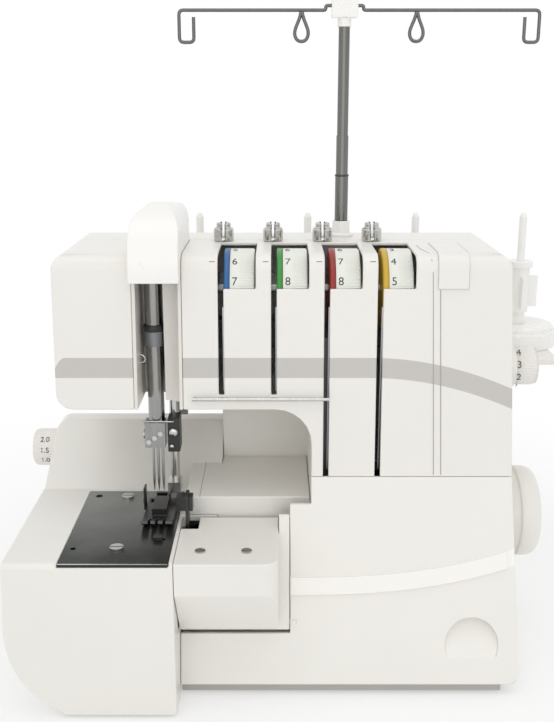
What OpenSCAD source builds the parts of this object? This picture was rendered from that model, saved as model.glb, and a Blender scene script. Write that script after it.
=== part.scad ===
// Serger overlock machine. Millimetres, +Z up, the operator sits on the -Y side.
// Places are given in machine coordinates: X runs left to right, Y starts at the front face
// of the bed and Z at the table. finish() moves them so that the origin is under the middle.

/* [Casing] */
// Thickness of the plastic covers
wall = 2.5; // [2:0.5:3.5]
// Left face of the tower, beside the work space
tower_left = 23; // [18:1:28]
// Width of the tower at its foot
tower_w = 140; // [130:1:150]
// How far the tower narrows on its right from foot to top
tower_taper = 11; // [4:1:14]
// Width of the needle arm left of the tower
arm_w = 169; // [165:1:175]
// Height of the arm's underside
arm_z = 190; // [186:1:200]
// Height of the casing's top
top_z = 292; // [288:1:296]
// Height of the seam between the lower and the upper front
seam_z = 144; // [138:1:150]
// Rear face of the casing
rear_y = 187; // [184:1:192]
// Front of the tower at its foot
foot_y = 25; // [20:1:30]
// Front of the casing at the seam
seam_y = 60; // [56:1:64]
// Front of the casing at its top edge
brow_y = 71; // [68:1:74]

/* [Bed] */
// Left face of the bed
bed_left = -174; // [-176:1:-170]
// Right face of the bed block
bed_right = -65; // [-68:1:-62]
// Height of the bed and the needle plate
bed_z = 110; // [106:1:114]
// Height of the rise behind the needle plate
rise_z = 148; // [140:1:154]
// Depth of the needle plate
plate_d = 115; // [110:1:118]
// Thickness of the needle plate
plate_t = 2; // [1.5:0.5:3]

/* [Door] */
// Right edge of the looper cover door
door_right = 8.4; // [6:0.2:10]
// Bottom edge of the door
door_z = 44; // [42:1:48]
// Width of the cloth plate extension
extension_w = 66; // [60:1:68]
// Depth of the cloth plate extension
extension_d = 70; // [66:1:74]

/* [Stitching] */
// Needle bar from the left
needle_x = -83; // [-85:1:-81]
// Needle bar from the front
needle_y = 89; // [87:1:91]
// Needle bar diameter
needle_bar_dia = 11; // [9:0.5:12]
// Presser bar diameter
presser_bar_dia = 6; // [5:0.5:7]
// Stroke of the needle bar
needle_stroke = 26; // [22:1:28]
// Lift of the presser foot
presser_lift = 6; // [4:0.5:7]
// Width of the presser foot
presser_foot_w = 21; // [18:1:24]

/* [Drive] */
// Main shaft from the front
shaft_y = 120; // [117:1:123]
// Main shaft height
shaft_z = 93; // [90:1:93]
// Main shaft diameter
shaft_dia = 10; // [8:1:12]
// Handwheel diameter
handwheel_dia = 66; // [60:1:70]
// Handwheel width
handwheel_w = 28; // [22:1:30]
// Motor diameter
motor_dia = 52; // [46:1:56]

/* [Dials] */
// Tension dial diameter
tension_dia = 54; // [48:1:56]
// Tension dial width with its colour ring
tension_w = 20; // [17:0.5:21]
// Width of the colour ring
ring_w = 4; // [3:0.5:5]
// Distance between neighbouring tension dials
tension_pitch = 34.6; // [32:0.2:36]
// Left edge of the first thread slot
slot_x = -38.4; // [-42:0.2:-36]
// Width of a thread slot
slot_w = 3.6; // [3:0.2:4]
// Stitch length dial diameter
length_dial_dia = 30; // [26:1:32]
// Differential feed dial diameter
feed_dial_dia = 29; // [26:1:32]

/* [Spool stand] */
// Distance between neighbouring spool pins
pin_pitch = 87.3; // [80:0.1:90]
// Spool pin diameter
pin_dia = 6; // [5:0.5:7]
// Height of the spool pins' tips
pin_tip_z = 299; // [290:1:305]
// Spool seat diameter
disc_dia = 64; // [56:1:68]
// Spool seat thickness
disc_t = 17; // [12:1:20]
// Height of the seats' top face
disc_z = 208; // [204:1:212]
// Cone holder height
cone_h = 52; // [48:1:56]

/* [Thread tree] */
// Height of the thread tree's wire
wire_z = 447; // [440:1:460]
// Wire diameter
wire_dia = 2.4; // [2:0.2:3]
// Diameter of the lowest tube of the telescopic pole
tube_dia = 9.4; // [8.6:0.2:11]
// How far the middle tube slides down into the lower one
tube_travel = 28; // [20:1:40]

/* [Clearances] */
// Gap between a cover and its neighbour, and round a moving piece
gap = 0.3; // [0.2:0.1:0.5]
// Radial gap of a shaft or slide in its bore
fit = 0.05; // [0.03:0.01:0.1]

/* [Hidden] */
$fn = 48;

// Colours
off_white = [0.93, 0.92, 0.89];
steel = [0.62, 0.62, 0.63];
dark_steel = [0.3, 0.31, 0.32];
iron = [0.45, 0.46, 0.48];
black = [0.08, 0.08, 0.08];
ring_tones = ["dodgerblue", "green", "firebrick", "gold"];

// Main places
body_z = 8;
base_t = 3;
brow_z = top_z - 10;
tower_right = tower_left + tower_w;
tower_top_right = tower_right - tower_taper;
arm_left = tower_left - arm_w;
split_y = seam_y + 80;
column_y = 151;
column_left = -41;
deck_z = bed_z + 14;
deck_y = extension_d + 3;
far = 500;
cover_gap = 0.2;
door_gap = 2.4;
channel_left = needle_x - 11.5;
channel_right = needle_x + 21;
channel_y = needle_y + 14;
dial_y = brow_y + tension_dia / 2 + 0.8;
dial_z = top_z - tension_dia / 2;
stand_y = 240;
stand_t = 5;
stand_z = disc_z - disc_t - stand_t;
first_pin_x = -62.4;
last_pin_x = first_pin_x + 3 * pin_pitch;
pole_x = 46.5;
pole_y = 160;
feed_dial_x = bed_left - 16.5;
mid_x = (feed_dial_x + last_pin_x + disc_dia / 2) / 2;
mid_y = (stand_y + disc_dia / 2) / 2;

// Shapes
module finish(tone) color(tone) translate([-mid_x, -mid_y, 0]) children();
module block(low, high) translate(low) cube(high - low);
module rod_x(x0, x1, y, z, r) translate([x0, y, z]) rotate([0, 90, 0]) cylinder(h = x1 - x0, r = r);
module rod_y(y0, y1, x, z, r) translate([x, y1, z]) rotate([90, 0, 0]) cylinder(h = y1 - y0, r = r);
module rod_z(z0, z1, x, y, r) translate([x, y, z0]) cylinder(h = z1 - z0, r = r);
module along_x(points, x0, x1) translate([x0, 0, 0]) rotate([90, 0, 90])
    linear_extrude(x1 - x0) polygon(points);
module along_y(points, y0, y1) translate([0, y1, 0]) rotate([90, 0, 0])
    linear_extrude(y1 - y0) polygon(points);

// Points of a round corner about a centre, from one angle to another
function corner(c, r, a0, a1, n = 6) =
    [for (i = [0 : n]) c + r * [cos(a0 + (a1 - a0) * i / n), sin(a0 + (a1 - a0) * i / n)]];

// Front face of the casing at a height
function front_y(z) = z < seam_z
    ? foot_y + (z - body_z) * (seam_y - foot_y) / (seam_z - body_z)
    : seam_y + (z - seam_z) * (brow_y - seam_y) / (brow_z - seam_z);

// Side outline of the casing, moved in by a wall
function side_outline(i) = concat(
    [[front_y(body_z) + i, body_z - i], [seam_y + i, seam_z]],
    corner([brow_y + 10, top_z - 10], 10 - i, 180, 90),
    corner([rear_y - 12, top_z - 12], 12 - i, 90, 0),
    [[rear_y - i, body_z - i]]);

// Front outline of the casing, moved in by a wall
function casing_outline(i) = concat(
    [[tower_left + i, body_z - i], [tower_right - 7, body_z - i]],
    corner([tower_right - 7, body_z + 7], 7 - i, -90, 0),
    corner([tower_top_right - 10, top_z - 10], 10 - i, 0, 90),
    corner([arm_left + 10, top_z - 10], 10 - i, 90, 180),
    corner([arm_left + 11, arm_z + 11], 11 - i, 180, 270),
    [[tower_left - 26, arm_z + i]],
    corner([tower_left - 24, arm_z - 24], 24 + i, 90, 0));

module casing_solid(i) intersection() {
    along_x(side_outline(i), -far, far);
    along_y(casing_outline(i), -far, far);
}
module casing_shell() difference() {
    casing_solid(0);
    casing_solid(wall);
}

// Sheet that follows the leaning lower front, from t0 behind its face to t1 behind it
module front_sheet(t0, t1) along_x([[foot_y + t0, body_z], [seam_y + t0, seam_z],
    [seam_y + t1, seam_z], [foot_y + t1, body_z]], -far, far);

// Casing
foot_spots = [[-122, 42], [-122, 168], [138, 48], [138, 168]];
foot_z = 5;
foot_r = 9;
base_front = foot_y + wall + 3;
module base_plate() finish("gray") {
    block([bed_left + 40, base_front, foot_z], [bed_right, bed_back - wall - 1, body_z]);
    block([bed_right, base_front, foot_z], [tower_right - 6, rear_y - wall - 1, body_z]);
}
module rubber_feet() finish(black)
    for (spot = foot_spots) rod_z(0, foot_z, spot[0], spot[1], foot_r);

// Room for the frame's rail through the tower's left wall
rail_h = 9;
module rail_gap() block([tower_left - 1, frame_y - gap, body_z - 1],
    [tower_left + wall + 1, frame_back + gap, body_z + rail_h + gap]);
module lower_front_cover() finish(off_white) difference() {
    union() {
        intersection() {
            casing_shell();
            block([tower_left, 0, body_z], [far, split_y, seam_z - cover_gap]);
        }
        intersection() {
            front_sheet(0, wall);
            along_y([[bed_right + gap, body_z], [tower_left + 5, body_z], [tower_left + 5, bed_z + 16],
                [door_right + gap, bed_z + 16], [door_right + gap, door_z - door_gap],
                [bed_right + gap, door_z - door_gap]], 0, far);
        }
        block([door_right + 1, front_y(door_z), door_z - 4],
            [door_right + 4.5, hinge_y + 4, hinge_z + 4]);
        intersection() {
            front_sheet(-1.2, wall);
            swoosh();
        }
        intersection() {
            front_sheet(wall - 0.5, 12);
            rod_y(0, far, thumb_x, thumb_z, thumb_r + wall);
        }
    }
    intersection() {
        along_x([[front_y(scoop_z) - 5, scoop_z], [front_y(scoop_z), scoop_z],
            [front_y(scoop_top) + scoop_d, scoop_top], [front_y(scoop_top) - 5, scoop_top]], -far, far);
        rod_y(0, far, thumb_x, thumb_z, thumb_r);
    }
    rod_x(tower_left - 1, far, shaft_y, shaft_z, shaft_dia / 2 + 3);
    rod_x(door_right, door_right + 5, hinge_y, hinge_z, hinge_r);
    rail_gap();
}
thumb_x = tower_right - 32;
thumb_z = 34;
thumb_r = 18;
scoop_d = 9;
scoop_z = thumb_z - 9;
scoop_top = thumb_z + thumb_r + 1;
swoosh_t = 11.5;
swoosh_rise = 15.4;
swoosh_z = 78.6;
// Raised band that sweeps up to the right
function swoosh_height(x) = swoosh_z + swoosh_rise * pow((x - door_right) / tower_w, 2.6);
swoosh_x = [for (i = [0 : 12]) door_right + 1 + i * (tower_w + 5) / 12];
module swoosh() along_y(concat(
    [for (x = swoosh_x) [x, swoosh_height(x)]],
    [for (i = [12 : -1 : 0]) [swoosh_x[i], swoosh_height(swoosh_x[i]) - swoosh_t]]), 0, far);

// Left edge of a thread slot, counted from the needle side
function slot_left(i) = slot_x + i * tension_pitch;
function slot_foot(i) = i < 2 ? arm_z + 10 : seam_z;
blank_x = slot_left(4) + 4;
window_z = dial_z + 5;
module tension_cover() finish(off_white) difference() {
    union() {
        intersection() {
            casing_shell();
            block([channel_right, 0, seam_z], [far, split_y, far]);
        }
        intersection() {
            along_x([for (p = side_outline(0)) p - [1.5, -1]], blank_x, blank_x + 20);
            block([blank_x, 0, window_z], [blank_x + 20, dial_y + 20, far]);
        }
    }
    for (i = [0 : 3]) {
        block([slot_left(i), 0, slot_foot(i)], [slot_left(i) + slot_w, brow_y + 12, window_z + 1]);
        block([slot_left(i), 0, window_z],
            [slot_left(i) + slot_w + tension_w + 1, dial_y + tension_dia / 2 + 1, far]);
    }
    for (i = [0 : 3]) rod_x(slot_left(i), slot_left(i) + slot_w + tension_w + 1, dial_y, dial_z,
        tension_dia / 2 + 0.5);
    length_dial_bore();
}
length_dial_y = 95;
length_dial_z = 212;
module length_dial_bore() rod_x(tower_right - 30, far, length_dial_y, length_dial_z, 4 + fit);

module face_cover() finish(off_white) intersection() {
    casing_shell();
    block([-far, 0, arm_z - 1], [channel_left, split_y, far]);
}

// Rear shell, with the column behind the work space
module rear_cover() finish(off_white) difference() {
    union() {
        intersection() {
            casing_shell();
            block([-far, split_y + cover_gap, body_z], [far, far, far]);
        }
        block([column_left, column_y, body_z], [tower_left + 1, rear_y, arm_z + 1]);
    }
    difference() {
        block([column_left + wall, column_y + wall, -1],
            [tower_left, rear_y - wall, arm_z]);
        casing_shell();
    }
    rail_gap();
    rod_z(top_z - 5, far, pole_x, pole_y, tube_dia / 2 + 1.6);
    for (spot = screw_spots) rod_y(rear_y - 5, far, spot[0], spot[1], 2.5);
    block(inlet_low - [1, 1, 1] * gap, inlet_high + [1, 5, 1] * gap + [0, 5, 0]);
    block(switch_low - [1, 1, 1] * gap, switch_high + [1, 5, 1] * gap + [0, 5, 0]);
}

needle_r = needle_bar_dia / 2;
// Curved screen that hides the presser bar, beside the needle bar
screen_x = needle_x + needle_r + 1.5;
screen_r = needle_y - 3 - brow_y;
module screen_column(r) rod_z(arm_z - 1, take_up_z - cover_gap, screen_x, brow_y, r);
module needle_channel() finish("lightgray") {
    difference() {
        intersection() {
            casing_solid(0);
            block([channel_left + cover_gap, 0, arm_z], [channel_right - cover_gap, channel_y + wall,
                take_up_z - cover_gap]);
        }
        block([channel_left + wall, 0, arm_z - 1], [channel_right - wall, channel_y, far]);
        block([needle_x - 7, channel_y - 1, guide_z - 1],
            [presser_x + 7, channel_y + wall + 1, guide_z + guide_h + 1]);
        block([presser_x - 5, channel_y - 1, arm_z - 1],
            [presser_x + 5, channel_y + wall + 1, arm_z + 18]);
    }
    intersection() {
        difference() {
            screen_column(screen_r);
            screen_column(screen_r - wall / 2);
        }
        block([screen_x, brow_y, arm_z], [channel_right - cover_gap - 1, needle_y, take_up_z - cover_gap]);
    }
}
take_up_z = 276;
take_up_top = 323;
take_up_x = (channel_left + channel_right) / 2;
take_up_w = channel_right - channel_left - 2 * cover_gap;
module take_up_solid(i) intersection() {
    along_y(concat([[take_up_x - take_up_w / 2 + i, take_up_z - i],
        [take_up_x + take_up_w / 2 - i, take_up_z - i]],
        corner([take_up_x, take_up_top - take_up_w / 2], take_up_w / 2 - i, 0, 180, 16)), 0, far);
    along_x(concat([[brow_y - 15 + i, take_up_z - i]],
        corner([brow_y + 25, take_up_top - 40], 40 - i, 180, 90, 10),
        [[split_y, take_up_top - 5 - i], [split_y, take_up_z - i]]), -far, far);
}
module take_up_cover() finish("white") difference() {
    take_up_solid(0);
    take_up_solid(wall);
}

// Bed
bed_back = rear_y - 5;
bed_foot = 2;
bed_round = 50;
bed_round_h = 60;
deck_left = bed_right + 1.5;
function bed_outline(i) = concat(
    [for (a = [180 : 7 : 250]) [bed_left + bed_round + (bed_round - i) * cos(a),
        bed_foot + bed_round_h + (bed_round_h - i) * sin(a)]],
    [[bed_left + bed_round - 14, bed_foot - 2 * i], [column_left - gap - i, bed_foot - 2 * i],
    [column_left - gap - i, rise_z - i]],
    corner([bed_left + 12, rise_z - 8], 8 - i, 90, 160),
    [[bed_left + 2 + i, bed_z]]);
function bed_side(i) = concat([[i, bed_foot - 2 * i]], corner([4, bed_z - 4], 4 - i, 180, 90),
    [[plate_d + 4, bed_z - i], [rear_y - 20, rise_z - i], [bed_back - i, rise_z - i],
    [bed_back - i, bed_foot - 2 * i]]);
module bed_solid(i) difference() {
    intersection() {
        along_y(bed_outline(i), -1, far);
        along_x(bed_side(i), -far, far);
    }
    block([bed_right - i, -2, -far], [far, deck_y + i, far]);
    if (i > 0) block([-far, rear_y - 9, -far], [bed_left + 34, far, far]);
}
plate_left = bed_left + 37;
plate_right = bed_right - 3;
module bed_cover() finish(off_white) difference() {
    bed_solid(0);
    bed_solid(wall);
    block([plate_left - cover_gap, -1, bed_z - plate_t],
        [plate_right + cover_gap, plate_d + cover_gap, bed_z + 1]);
    block([plate_left + 5, wall + 3, bed_z - 12], [plate_right - 5, plate_d - 5, bed_z]);
    block([bed_right - wall - 1, 20, 50], [bed_right + 1, deck_y - 2, bed_z - 19]);
    block([bed_right, deck_y - 4, 50], [column_left + 1, deck_y + wall + 1, bed_z - wall - 2]);
    block([bed_right - wall - 1, base_front - gap, -1], [far, far, body_z + gap]);
    block([column_left - gap - wall - 1, deck_y + wall, -1],
        [column_left + 1, frame_back + 1, bed_z - 4]);
    rod_x(bed_right - wall - 1, bed_right + 1, hinge_y, hinge_z, hinge_r);
    rod_x(feed_dial_x, bed_left + 30, feed_dial_y, feed_dial_z, 4 + fit);
}
feed_dial_y = 176;
feed_dial_z = 122;

// Raised deck behind the front extension, laid on the bed and reaching to the tower
module deck_cover() finish(off_white) difference() {
    union() {
        block([deck_left, deck_y, bed_z - wall], [tower_left - gap, deck_y + wall, deck_z]);
        block([deck_left, deck_y, deck_z - wall],
            [column_left - gap, split_y + 8, deck_z]);
        block([column_left - gap - 1, deck_y, deck_z - wall],
            [tower_left - gap, column_y - gap, deck_z]);
        block([deck_left, deck_y, bed_z - wall], [deck_left + wall, split_y + 8, deck_z]);
    }
    bed_solid(-gap / 2);
}

// Screws that hold the rear cover to the frame
module casing_screws() finish(steel)
    for (spot = screw_spots) rod_y(frame_back - 6, rear_y + 1.5, spot[0], spot[1], 2.5);

// Frame
frame_front = 80;
frame_y = 132;
frame_back = 149;
beam_z = 215;
beam_h = 20;
upright_t = 7;
uprights = [-58, tower_left + 7, tower_right - 27];
screw_spots = [[uprights[1] + upright_t / 2, 60], [uprights[2] + upright_t / 2, 140],
    [tower_right - 73, 225], [-70, 225]];
guide_z = 228;
guide_h = 10;
upper_guide_z = 277;
presser_x = needle_x + 11;
presser_y = needle_y + 8;
bearing_r = shaft_dia / 2 + 5;
module bar_guide(z) {
    rod_z(z, z + guide_h, needle_x, needle_y, needle_r + 1.2);
    block([needle_x - 5, needle_y, z], [presser_x + 5, frame_y + 1, z + guide_h]);
}
module frame_casting() finish(iron) difference() {
    union() {
        block([uprights[0], frame_y, body_z], [uprights[2], frame_back, body_z + rail_h]);
        for (i = [0 : 2]) block([uprights[i], frame_front, body_z],
            [uprights[i] + upright_t, frame_back, i == 0 ? bed_z - 6 : beam_z + beam_h]);
        block([needle_x - 20, frame_y, beam_z], [uprights[2] + 1, frame_back, beam_z + beam_h]);
        block([needle_x - 20, frame_y, beam_z], [presser_x + 8, frame_back, take_up_z - 0.5]);
        block([needle_x - 5, frame_y, beam_z], [presser_x + 6, frame_y + 5, upper_guide_z + guide_h]);
        block([20, frame_y, beam_z], [uprights[1] + upright_t, frame_back, tree_foot_z]);
        block([20, frame_y, tree_foot_z - 8], [pole_x + 12, pole_y + 10, tree_foot_z]);
        block([uprights[0], frame_y, beam_z - 20], [uprights[0] + 8, frame_back, beam_z + 1]);
        bar_guide(guide_z);
        bar_guide(upper_guide_z);
        block([uprights[0], frame_front, body_z], [tower_left - 3, frame_front + 6, bed_z - 6]);
        block([feed_x0, feed_y1 - 6, feed_z - 6], [feed_x0 + 14, 102, feed_z - gap]);
        block([feed_x0, 94, feed_z - 14], [uprights[0] + 1, 102, feed_z - gap]);
        block([presser_x + 4.2, lever_y - 6, lever_z - 6], [presser_x + 7.4, frame_y + 1, beam_z + 1]);
        rod_x(presser_x - 3, presser_x + 5, lever_y, lever_z, 2.5);
        rod_y(looper_y + 6, frame_front + 1, upper_looper_x, upper_looper_z, pivot_r);
        rod_y(looper_y - 6, frame_front + 1, lower_looper_x, lower_looper_z, pivot_r);
    }
    for (z = [guide_z, upper_guide_z]) {
        rod_z(z - 1, z + guide_h + 1, needle_x, needle_y, needle_r + fit);
        rod_z(z - 1, z + guide_h + 1, presser_x, presser_y, presser_bar_dia / 2 + fit);
    }
    for (x = uprights) rod_x(x - 1, x + upright_t + 1, shaft_y, shaft_z, bearing_r);
    for (spot = screw_spots) rod_y(frame_back - 6, far, spot[0], spot[1], 2.5);
    rod_z(tree_foot_z - 9, tree_foot_z + 1, pole_x, pole_y, tube_dia / 2);
    block([needle_x - 6, needle_y - 3, feed_z - 20], [needle_x + 5, needle_y + 3, feed_z]);
}
tree_foot_z = top_z - wall - 0.5;
lever_y = 112;
lever_z = arm_z - 2;

// Fixed bed pieces
module needle_plate() finish(dark_steel) difference() {
    block([plate_left, 0, bed_z - plate_t], [plate_right, plate_d, bed_z]);
    for (i = [0 : 2]) block([needle_x - 7 + i * 5, feed_y0 - 3, bed_z - 3],
        [needle_x - 4.6 + i * 5, feed_y1, bed_z + 1]);
    block([needle_x - 6, needle_y - 1.5, bed_z - 3], [needle_x + 5, needle_y + 1.5, bed_z + 1]);
    for (spot = plate_screws) rod_z(bed_z - 3, bed_z + 1, spot[0], spot[1], plate_screw_r + fit);
    rod_z(bed_z - 3, bed_z + 1, plate_left + 8, plate_d - 9, 2.5);
    rod_z(bed_z - 3, bed_z + 1, plate_left + 6, 22, 1.8);
    block([plate_right - 14, 34, bed_z - 3], [plate_right - 5, 37, bed_z + 1]);
}
plate_screws = [[plate_left + 29, plate_d - 11], [plate_left + 34, 22]];
plate_screw_r = 2;
module needle_plate_screws() finish(steel) for (spot = plate_screws) difference() {
    union() {
        rod_z(bed_z - 5, bed_z, spot[0], spot[1], plate_screw_r);
        rod_z(bed_z, bed_z + 1.6, spot[0], spot[1], 4.5);
    }
    block([spot[0] - 5, spot[1] - 0.6, bed_z + 0.8], [spot[0] + 5, spot[1] + 0.6, bed_z + 2]);
}
module stitch_finger_slide() finish(black) {
    block([plate_right - 12, 34 + gap, bed_z - 4], [plate_right - 8, 37 - gap, bed_z + 2.5]);
    block([plate_right - 13, 33, bed_z + gap], [plate_right - 7, 38, bed_z + 2.5]);
}
knife_x = bed_right;
knife_y0 = 56;
module lower_knife() finish(steel)
    block([knife_x, knife_y0, bed_z - 16], [knife_x + 3, knife_y0 + 10, bed_z - 0.5]);
module upper_knife() finish(dark_steel) {
    block([knife_x + 3 + gap, knife_y0, bed_z - 14], [knife_x + 5.5, knife_y0 + 10, deck_z + 8]);
    block([knife_x - 3, knife_y0 + 2, deck_z - 4], [knife_x + 8, knife_y0 + 10, deck_z + 6]);
}
feed_x0 = needle_x - 8;
feed_z = bed_z - 8;
feed_y0 = needle_y - 30;
feed_y1 = needle_y - 4;
module feed_dogs() finish(steel) {
    block([feed_x0, feed_y0, feed_z], [feed_x0 + 14, feed_y1 - 6, feed_z + 4]);
    for (i = [0 : 2]) for (j = [0 : 6])
        along_x([[feed_y0 + j * 3, feed_z + 3], [feed_y0 + j * 3 + 3, feed_z + 3],
            [feed_y0 + j * 3 + 3, bed_z], [feed_y0 + j * 3 + 1, bed_z + 0.8],
            [feed_y0 + j * 3, bed_z]],
            needle_x - 6.7 + i * 5, needle_x - 4.9 + i * 5);
}
pivot_r = 3;
looper_y = 62;
upper_looper_x = -22;
upper_looper_z = 74;
lower_looper_x = -46;
lower_looper_z = 66;
// Curved looper on its pivot, from the hub to the tip
module looper(hub, tip, y) difference() {
    union() {
        rod_y(y, y + 7, hub[0], hub[1], pivot_r + 4);
        along_y([hub + [-3, -4], hub + [3, 4], (hub + tip) / 2 + [2, 11], tip + [4, 2.5], tip,
            (hub + tip) / 2 + [-2, 3]], y + 1.5, y + 5);
    }
    rod_y(y - 1, y + 8, hub[0], hub[1], pivot_r + fit);
}
module upper_looper() finish(steel)
    looper([upper_looper_x, upper_looper_z], [bed_right + 2, bed_z - 14], looper_y + 8);
module lower_looper() finish(steel)
    looper([lower_looper_x, lower_looper_z], [needle_x + 2, bed_z - 24], looper_y - 4);

// Head
rod_front = front_y(arm_z + 8) - 3;
module guide_rod() finish(steel) {
    rod_x(channel_right + 6, slot_left(2) + slot_w, rod_front, arm_z + 8, 1.2);
    for (x = [channel_right + 8, slot_left(2) + 1])
        rod_y(rod_front, front_y(arm_z + 7), x, arm_z + 8, 1);
}
module thread_guides() finish(steel) for (i = [0 : 3]) difference() {
    union() {
        rod_z(top_z, top_z + 9, slot_left(i) + 1, guide_y, 7);
        rod_z(top_z + 9, top_z + 13, slot_left(i) + 1, guide_y, 5);
    }
    block([slot_left(i) + 0.2, 0, top_z + 3], [slot_left(i) + 1.8, far, top_z + 14]);
}
guide_y = dial_y + 35;
cutter_y = 96;
module thread_cutter() finish("gray") difference() {
    block([arm_left - 4.6, cutter_y, 214], [arm_left, cutter_y + 22, 243]);
    block([arm_left - 3, cutter_y - 1, 226], [arm_left - 1, cutter_y + 10, 230]);
}

// Dials
axle_r = 3;
module tension_axle() finish(steel) {
    rod_x(slot_x - 12, slot_left(3) + slot_w + tension_w + 8, dial_y, dial_z, axle_r);
    for (i = [0 : 4]) block([slot_left(i) - 4, dial_y - 3, dial_z - 3],
        [slot_left(i) - 2, frame_y - 1, dial_z + 5]);
    block([slot_x - 12, frame_y - 3, dial_z - 3], [slot_left(4) - 2, frame_y, dial_z + 5]);
    block([uprights[1], frame_y - 3, beam_z + beam_h], [uprights[1] + upright_t, frame_y, dial_z]);
}
module tension_dial(i) {
    left = slot_left(i) + slot_w;
    finish(ring_tones[i]) difference() {
        rod_x(left, left + ring_w, dial_y, dial_z, tension_dia / 2);
        rod_x(left - 1, left + ring_w + 1, dial_y, dial_z, axle_r + fit);
    }
    finish("white") difference() {
        rod_x(left + ring_w, left + tension_w, dial_y, dial_z, tension_dia / 2 - 0.4);
        rod_x(left + ring_w - 1, left + tension_w + 1, dial_y, dial_z, axle_r + fit);
    }
}
module tension_dial_1() tension_dial(0);
module tension_dial_2() tension_dial(1);
module tension_dial_3() tension_dial(2);
module tension_dial_4() tension_dial(3);
length_dial_x = tower_right - 4.5;
module stitch_length_dial() finish("white") {
    rod_x(length_dial_x, length_dial_x + 9, length_dial_y, length_dial_z, length_dial_dia / 2);
    rod_x(length_dial_x + 9, length_dial_x + 18, length_dial_y, length_dial_z,
        length_dial_dia / 2 - 2);
    rod_x(length_dial_x - 14, length_dial_x + 1, length_dial_y, length_dial_z, 4);
}
module differential_feed_dial() finish("white") {
    rod_x(feed_dial_x, bed_left - 1, feed_dial_y, feed_dial_z, feed_dial_dia / 2);
    rod_x(bed_left - 2, bed_left + 14, feed_dial_y, feed_dial_z, 4);
}

// Drive
pulley_x = uprights[2] - 16;
pulley_r = 24;
motor_pulley_r = 9;
motor_y = rear_y - wall - 2.5 - motor_dia / 2;
motor_z = body_z + 12 + motor_dia / 2;
motor_l = 58;
motor_right = pulley_x - 12;
motor_left = motor_right - motor_l;
belt_t = 2;
belt_w = 7;
module motor() finish(black) {
    rod_x(motor_left, motor_right, motor_y, motor_z, motor_dia / 2);
    rod_x(motor_right - 1, motor_right + 4, motor_y, motor_z, 10);
}
module motor_bracket() finish(steel) difference() {
    block([motor_left + 4, frame_back, body_z],
        [motor_right - 8, motor_y + 18, motor_z - motor_dia / 2 + 5]);
    rod_x(motor_left - 1, motor_right + 1, motor_y, motor_z, motor_dia / 2 + fit);
}
module motor_pulley() finish(steel)
    rod_x(pulley_x - 7.5, pulley_x + 10, motor_y, motor_z, motor_pulley_r);
module main_shaft() finish(steel) {
    rod_x(uprights[0] - 12, tower_right + 14, shaft_y, shaft_z, shaft_dia / 2);
    rod_x(pulley_x, pulley_x + 10, shaft_y, shaft_z, pulley_r);
    rod_x(uprights[0] + upright_t + 1, uprights[0] + upright_t + 9, shaft_y, shaft_z, 9);
    rod_x(uprights[1] + upright_t + 1, uprights[1] + upright_t + 9, shaft_y, shaft_z, 12);
}
module shaft_bearings() finish("goldenrod") for (x = uprights) difference() {
    rod_x(x, x + upright_t, shaft_y, shaft_z, bearing_r);
    rod_x(x - 1, x + upright_t + 1, shaft_y, shaft_z, shaft_dia / 2 + fit);
}
belt_dy = motor_y - shaft_y;
belt_dz = motor_z - shaft_z;
belt_turn = atan2(belt_dz, belt_dy);
belt_lean = acos((pulley_r - motor_pulley_r) / norm([belt_dy, belt_dz]));
function belt_outline(t) = concat(
    corner([shaft_y, shaft_z], pulley_r + t, belt_turn + belt_lean, belt_turn + 360 - belt_lean, 24),
    corner([motor_y, motor_z], motor_pulley_r + t, belt_turn - belt_lean, belt_turn + belt_lean, 12));
module drive_belt() finish(black) difference() {
    along_x(belt_outline(gap + belt_t), pulley_x + 1.5, pulley_x + 1.5 + belt_w);
    along_x(belt_outline(gap), pulley_x, pulley_x + 10);
}
wheel_x = tower_right - 1;
module handwheel() finish("white") difference() {
    union() {
        rod_x(wheel_x, wheel_x + handwheel_w * 0.45, shaft_y, shaft_z, handwheel_dia / 2 - 2);
        rod_x(wheel_x + handwheel_w * 0.45, wheel_x + handwheel_w, shaft_y, shaft_z,
            handwheel_dia / 2);
    }
    rod_x(wheel_x - 1, tower_right + 14, shaft_y, shaft_z, shaft_dia / 2);
}
inlet_z = motor_z + motor_dia / 2 + 12;
inlet_x = tower_right - 93;
inlet_w = 30;
inlet_h = 22;
inlet_low = [inlet_x, rear_y - 24, inlet_z];
inlet_high = [inlet_x + inlet_w, rear_y + 1, inlet_z + inlet_h];
module power_inlet() finish(black) difference() {
    block(inlet_low, inlet_high);
    block(inlet_low + [4, 6, 4], inlet_high + [-4, 2, -4]);
}
switch_x = inlet_x + inlet_w + 6;
switch_w = 14;
switch_low = [switch_x, rear_y - 12, inlet_z];
switch_high = [switch_x + switch_w, rear_y + 1, inlet_z + inlet_h];
module power_switch() finish(black)
    intersection() {
        block(switch_low + [0.5, 4, 0.5], switch_high + [-0.5, 6, -0.5]);
        rod_x(switch_low[0], switch_high[0], switch_y, switch_z, 11);
    }
switch_y = rear_y - 6.5;
switch_z = (switch_low[2] + switch_high[2]) / 2;

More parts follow.
